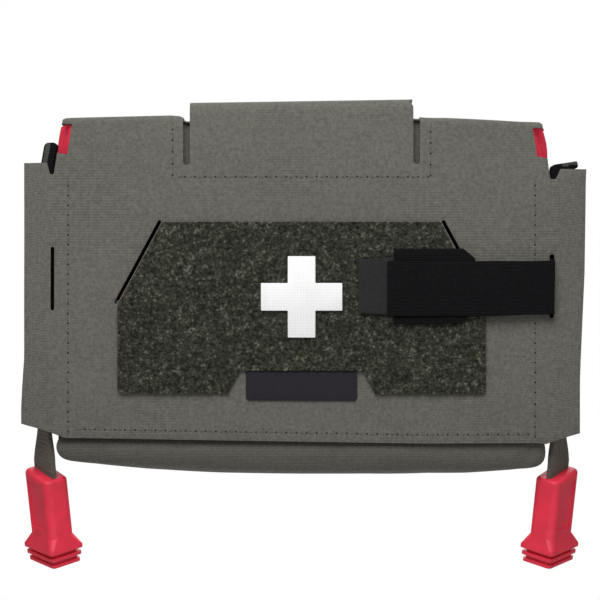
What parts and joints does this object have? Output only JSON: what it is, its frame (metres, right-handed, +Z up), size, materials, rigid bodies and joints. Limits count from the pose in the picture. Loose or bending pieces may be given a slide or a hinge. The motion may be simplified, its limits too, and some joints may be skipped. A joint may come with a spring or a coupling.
{
  "type": "drop-out trauma pouch with stowed tourniquet",
  "caption": "Flat belt-hung sleeve with a hook-and-loop face; a slide-out insert below, pulled by red side grips, holds a windlass tourniquet.",
  "frame": {"origin": "centre of the hanger flap's flat outer face, the face that lies against the wearer", "axes": "+Z up, +X to the right seen from the front, -Y to the front; +Y leaves the hanger flap's outer face"},
  "size_m": [0.2586, 0.0566, 0.2126],
  "materials": {
    "outer_fabric": "laminated nylon, fine matte weave, grey-olive",
    "bulge_fabric": "softer matte nylon, darker grey-olive",
    "pile": "dark olive loop pile, matte",
    "hook_tape": "black moulded hook tape",
    "cross": "white moulded patch, satin",
    "label": "black woven label, bare",
    "strap_elastic": "black knitted elastic",
    "strap_tab": "charcoal webbing",
    "red_fabric": "red nylon, matte",
    "board": "black polyethylene sheet",
    "webbing": "olive webbing",
    "grip_rubber": "red moulded rubber, satin",
    "tourniquet_fabric": "black webbing",
    "tourniquet_plastic": "black moulded nylon",
    "tourniquet_rod": "black anodised rod",
    "time_strap": "light grey thin strap"
  },
  "bodies": {
    "sleeve": {"front_panel": "outer_fabric", "top_cover": "outer_fabric", "top_bridge": "outer_fabric", "back_panel": "outer_fabric", "back_stiffener": "board", "back_lining": "outer_fabric", "pile_field": "pile", "cross_patch": "cross", "blank_label": "label", "keeper_right": "strap_tab", "keeper_left": "strap_tab", "hanger_loop": "pile", "strap_anchor": "strap_elastic", "side_gusset_left": "red_fabric", "side_gusset_right": "red_fabric"},
    "hanger": {"hanger_flap": "outer_fabric", "hanger_hook": "hook_tape"},
    "strap": {"strap_elastic": "strap_elastic", "strap_hook": "hook_tape", "strap_pull_end": "strap_tab"},
    "insert": {"insert_back_cover": "red_fabric", "insert_stiffener": "board", "insert_board_face": "red_fabric", "insert_front_wall": "bulge_fabric", "insert_floor": "bulge_fabric", "insert_side_wall_left": "red_fabric", "insert_side_wall_right": "red_fabric", "insert_elastic_left": "strap_elastic", "insert_elastic_right": "strap_elastic", "pull_anchor_left": "webbing", "pull_anchor_right": "webbing", "tourniquet_band": "tourniquet_fabric", "tourniquet_buckle": "tourniquet_plastic", "tourniquet_plate": "tourniquet_plastic", "windlass": "tourniquet_rod", "windlass_clip": "tourniquet_plastic", "time_strap": "time_strap", "inner_band": "tourniquet_fabric"},
    "pull_left": {"pull_webbing_left": "webbing"},
    "pull_right": {"pull_webbing_right": "webbing"},
    "grip_left": {"grip_tail_left": "webbing", "pull_grip_left": "grip_rubber"},
    "grip_right": {"grip_tail_right": "webbing", "pull_grip_right": "grip_rubber"}
  },
  "joints": [
    {"name": "flap_hinge", "type": "hinge", "parent": "sleeve", "child": "hanger", "pos_m": [0, -0.0008, 0.032], "axis": [1, 0, 0], "range_deg": [0, 120]},
    {"name": "strap_peel", "type": "hinge", "parent": "sleeve", "child": "strap", "pos_m": [0.1123, -0.05585, -0.0397], "axis": [0, 0, 1], "range_deg": [0, 170]},
    {"name": "insert_slide", "type": "slide", "parent": "sleeve", "child": "insert", "axis": [0, 0, -1], "range_m": [0, 0.15]},
    {"name": "pull_left_swing", "type": "hinge", "parent": "insert", "child": "pull_left", "pos_m": [-0.11805, -0.038, -0.105], "axis": [-0.6561, 0.7547, 0], "range_deg": [-6, 80]},
    {"name": "pull_right_swing", "type": "hinge", "parent": "insert", "child": "pull_right", "pos_m": [0.11805, -0.038, -0.105], "axis": [-0.6561, -0.7547, 0], "range_deg": [-6, 80]},
    {"name": "grip_left_turn", "type": "hinge", "parent": "pull_left", "child": "grip_left", "pos_m": [-0.11805, -0.038, -0.121], "axis": [0, 0, 1], "range_deg": [-49, 49]},
    {"name": "grip_right_turn", "type": "hinge", "parent": "pull_right", "child": "grip_right", "pos_m": [0.11805, -0.038, -0.121], "axis": [0, 0, -1], "range_deg": [-49, 49]}
  ]
}
